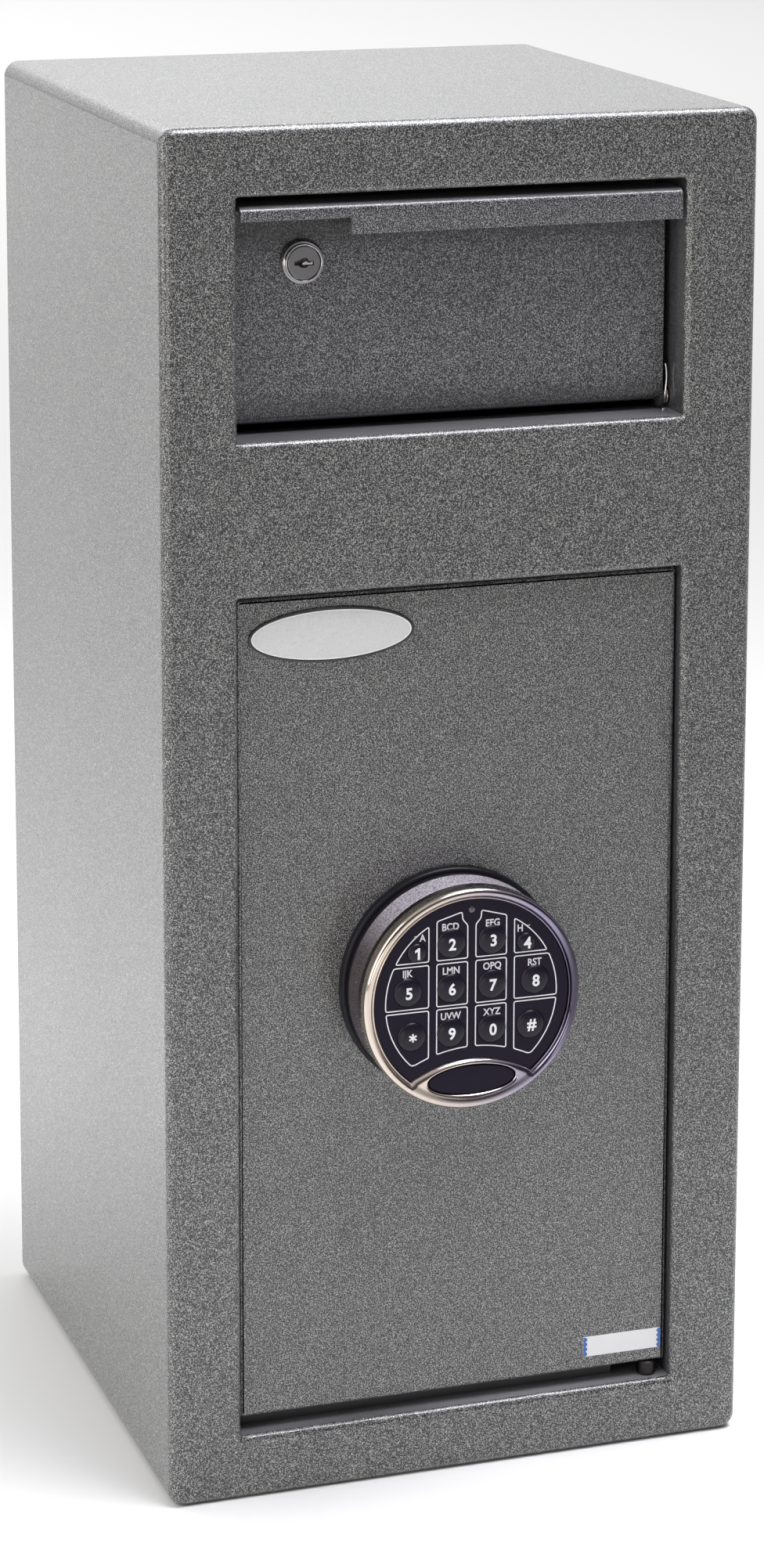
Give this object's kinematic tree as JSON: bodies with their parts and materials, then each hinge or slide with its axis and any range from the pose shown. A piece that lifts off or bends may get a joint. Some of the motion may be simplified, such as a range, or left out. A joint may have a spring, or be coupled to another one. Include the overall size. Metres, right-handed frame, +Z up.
{
  "type": "deposit safe",
  "caption": "Upright steel deposit safe: a keypad-locked door below a key-locked, tilt-out hopper that drops envelopes into the vault.",
  "frame": {"origin": "on the floor, midway across the cabinet and midway between its front and back faces", "axes": "+X to the right seen from the front, +Y to the back, +Z up"},
  "size_m": [0.3, 0.34, 0.68],
  "materials": {
    "cabinet_paint": "dark grey hammered paint with fine light specks, satin",
    "inner_paint": "smooth dark grey paint, satin",
    "zinc": "bright zinc plate",
    "spring_wire": "drawn spring wire",
    "chrome": "polished",
    "brass": "machined",
    "keypad_plastic": "moulded, matte",
    "keypad_face": "satin overlay with fine white outlines",
    "drum_metal": "satin, brown grey",
    "key_rubber": "satin domes with white marks",
    "badge_plate": "bare silver white face with a black rim",
    "label_stock": "bare white foil with blue ends",
    "led_lens": "unlit lens",
    "circuit_board": "bare board",
    "battery_case": "wrapped case"
  },
  "bodies": {
    "cabinet": {"body_shell": "cabinet_paint", "front_plate": "cabinet_paint", "back_plate": "cabinet_paint", "door_opening_return": "cabinet_paint", "deposit_opening_return": "cabinet_paint", "door_stop_frame": "inner_paint", "upper_hinge_block": "zinc", "lower_hinge_block": "zinc", "chute_left_wall": "inner_paint", "chute_right_wall": "inner_paint", "anti_fishing_baffle": "inner_paint", "left_pivot_bush": "brass", "right_pivot_bush": "brass", "spring_anchor_screw": "zinc"},
    "door": {"door_plate": "cabinet_paint", "door_back_cover": "inner_paint", "upper_hinge_pin": "zinc", "lower_hinge_pin": "zinc", "bolt_guide_rail": "zinc", "lock_case": "zinc", "lower_guide_stud": "zinc", "upper_guide_stud": "zinc", "badge": "badge_plate", "serial_label": "label_stock", "keypad_base": "keypad_plastic"},
    "boltwork": {"bolt_carriage": "zinc", "lower_bolt": "zinc", "middle_bolt": "zinc", "upper_bolt": "zinc"},
    "dial": {"dial_drum": "drum_metal", "dial_bezel": "chrome", "dial_face": "keypad_face", "oval_plate": "keypad_face", "status_led": "led_lens", "circuit_board": "circuit_board", "battery": "battery_case", "dial_spindle": "zinc", "bolt_cam": "zinc"},
    "key_1_cap": {"key_1": "key_rubber"},
    "key_2_cap": {"key_2": "key_rubber"},
    "key_3_cap": {"key_3": "key_rubber"},
    "key_4_cap": {"key_4": "key_rubber"},
    "key_5_cap": {"key_5": "key_rubber"},
    "key_6_cap": {"key_6": "key_rubber"},
    "key_7_cap": {"key_7": "key_rubber"},
    "key_8_cap": {"key_8": "key_rubber"},
    "key_star_cap": {"key_star": "key_rubber"},
    "key_9_cap": {"key_9": "key_rubber"},
    "key_0_cap": {"key_0": "key_rubber"},
    "key_hash_cap": {"key_hash": "key_rubber"},
    "hopper": {"hopper_panel": "cabinet_paint", "hopper_left_cheek": "inner_paint", "hopper_right_cheek": "inner_paint", "hopper_tray": "inner_paint", "hopper_return_spring": "spring_wire", "lock_barrel": "chrome", "lock_nut": "zinc"},
    "cam_lock": {"lock_plug": "chrome", "lock_cam": "zinc"}
  },
  "joints": [
    {"name": "door_hinge", "type": "hinge", "parent": "cabinet", "child": "door", "pos_m": [0.104, -0.14498, 0.25], "axis": [0, 0, 1], "range_deg": [0, 90]},
    {"name": "dial_turn", "type": "hinge", "parent": "door", "child": "dial", "pos_m": [-0.005, -0.17, 0.256], "axis": [0, -1, 0], "range_deg": [0, 90]},
    {"name": "bolt_slide", "type": "slide", "parent": "door", "child": "boltwork", "axis": [-1, 0, 0], "range_m": [0, 0.018]},
    {"name": "key_1_press", "type": "slide", "parent": "dial", "child": "key_1_cap", "axis": [0, 1, 0], "range_m": [0, 0.0008], "stiffness_N_per_m": 400, "springref_m": -0.0005},
    {"name": "key_2_press", "type": "slide", "parent": "dial", "child": "key_2_cap", "axis": [0, 1, 0], "range_m": [0, 0.0008], "stiffness_N_per_m": 400, "springref_m": -0.0005},
    {"name": "key_3_press", "type": "slide", "parent": "dial", "child": "key_3_cap", "axis": [0, 1, 0], "range_m": [0, 0.0008], "stiffness_N_per_m": 400, "springref_m": -0.0005},
    {"name": "key_4_press", "type": "slide", "parent": "dial", "child": "key_4_cap", "axis": [0, 1, 0], "range_m": [0, 0.0008], "stiffness_N_per_m": 400, "springref_m": -0.0005},
    {"name": "key_5_press", "type": "slide", "parent": "dial", "child": "key_5_cap", "axis": [0, 1, 0], "range_m": [0, 0.0008], "stiffness_N_per_m": 400, "springref_m": -0.0005},
    {"name": "key_6_press", "type": "slide", "parent": "dial", "child": "key_6_cap", "axis": [0, 1, 0], "range_m": [0, 0.0008], "stiffness_N_per_m": 400, "springref_m": -0.0005},
    {"name": "key_7_press", "type": "slide", "parent": "dial", "child": "key_7_cap", "axis": [0, 1, 0], "range_m": [0, 0.0008], "stiffness_N_per_m": 400, "springref_m": -0.0005},
    {"name": "key_8_press", "type": "slide", "parent": "dial", "child": "key_8_cap", "axis": [0, 1, 0], "range_m": [0, 0.0008], "stiffness_N_per_m": 400, "springref_m": -0.0005},
    {"name": "key_star_press", "type": "slide", "parent": "dial", "child": "key_star_cap", "axis": [0, 1, 0], "range_m": [0, 0.0008], "stiffness_N_per_m": 400, "springref_m": -0.0005},
    {"name": "key_9_press", "type": "slide", "parent": "dial", "child": "key_9_cap", "axis": [0, 1, 0], "range_m": [0, 0.0008], "stiffness_N_per_m": 400, "springref_m": -0.0005},
    {"name": "key_0_press", "type": "slide", "parent": "dial", "child": "key_0_cap", "axis": [0, 1, 0], "range_m": [0, 0.0008], "stiffness_N_per_m": 400, "springref_m": -0.0005},
    {"name": "key_hash_press", "type": "slide", "parent": "dial", "child": "key_hash_cap", "axis": [0, 1, 0], "range_m": [0, 0.0008], "stiffness_N_per_m": 400, "springref_m": -0.0005},
    {"name": "hopper_tilt", "type": "hinge", "parent": "cabinet", "child": "hopper", "pos_m": [0, -0.131, 0.5365], "axis": [1, 0, 0], "range_deg": [0, 45], "stiffness_Nm_per_rad": 0.3, "springref_deg": -20.05},
    {"name": "lock_turn", "type": "hinge", "parent": "hopper", "child": "cam_lock", "pos_m": [-0.0758, -0.135, 0.6122], "axis": [0, -1, 0], "range_deg": [0, 90]}
  ],
  "couplings": [
    {"joint": "bolt_slide", "follows": "dial_turn", "m_per_rad": 0.011459}
  ]
}
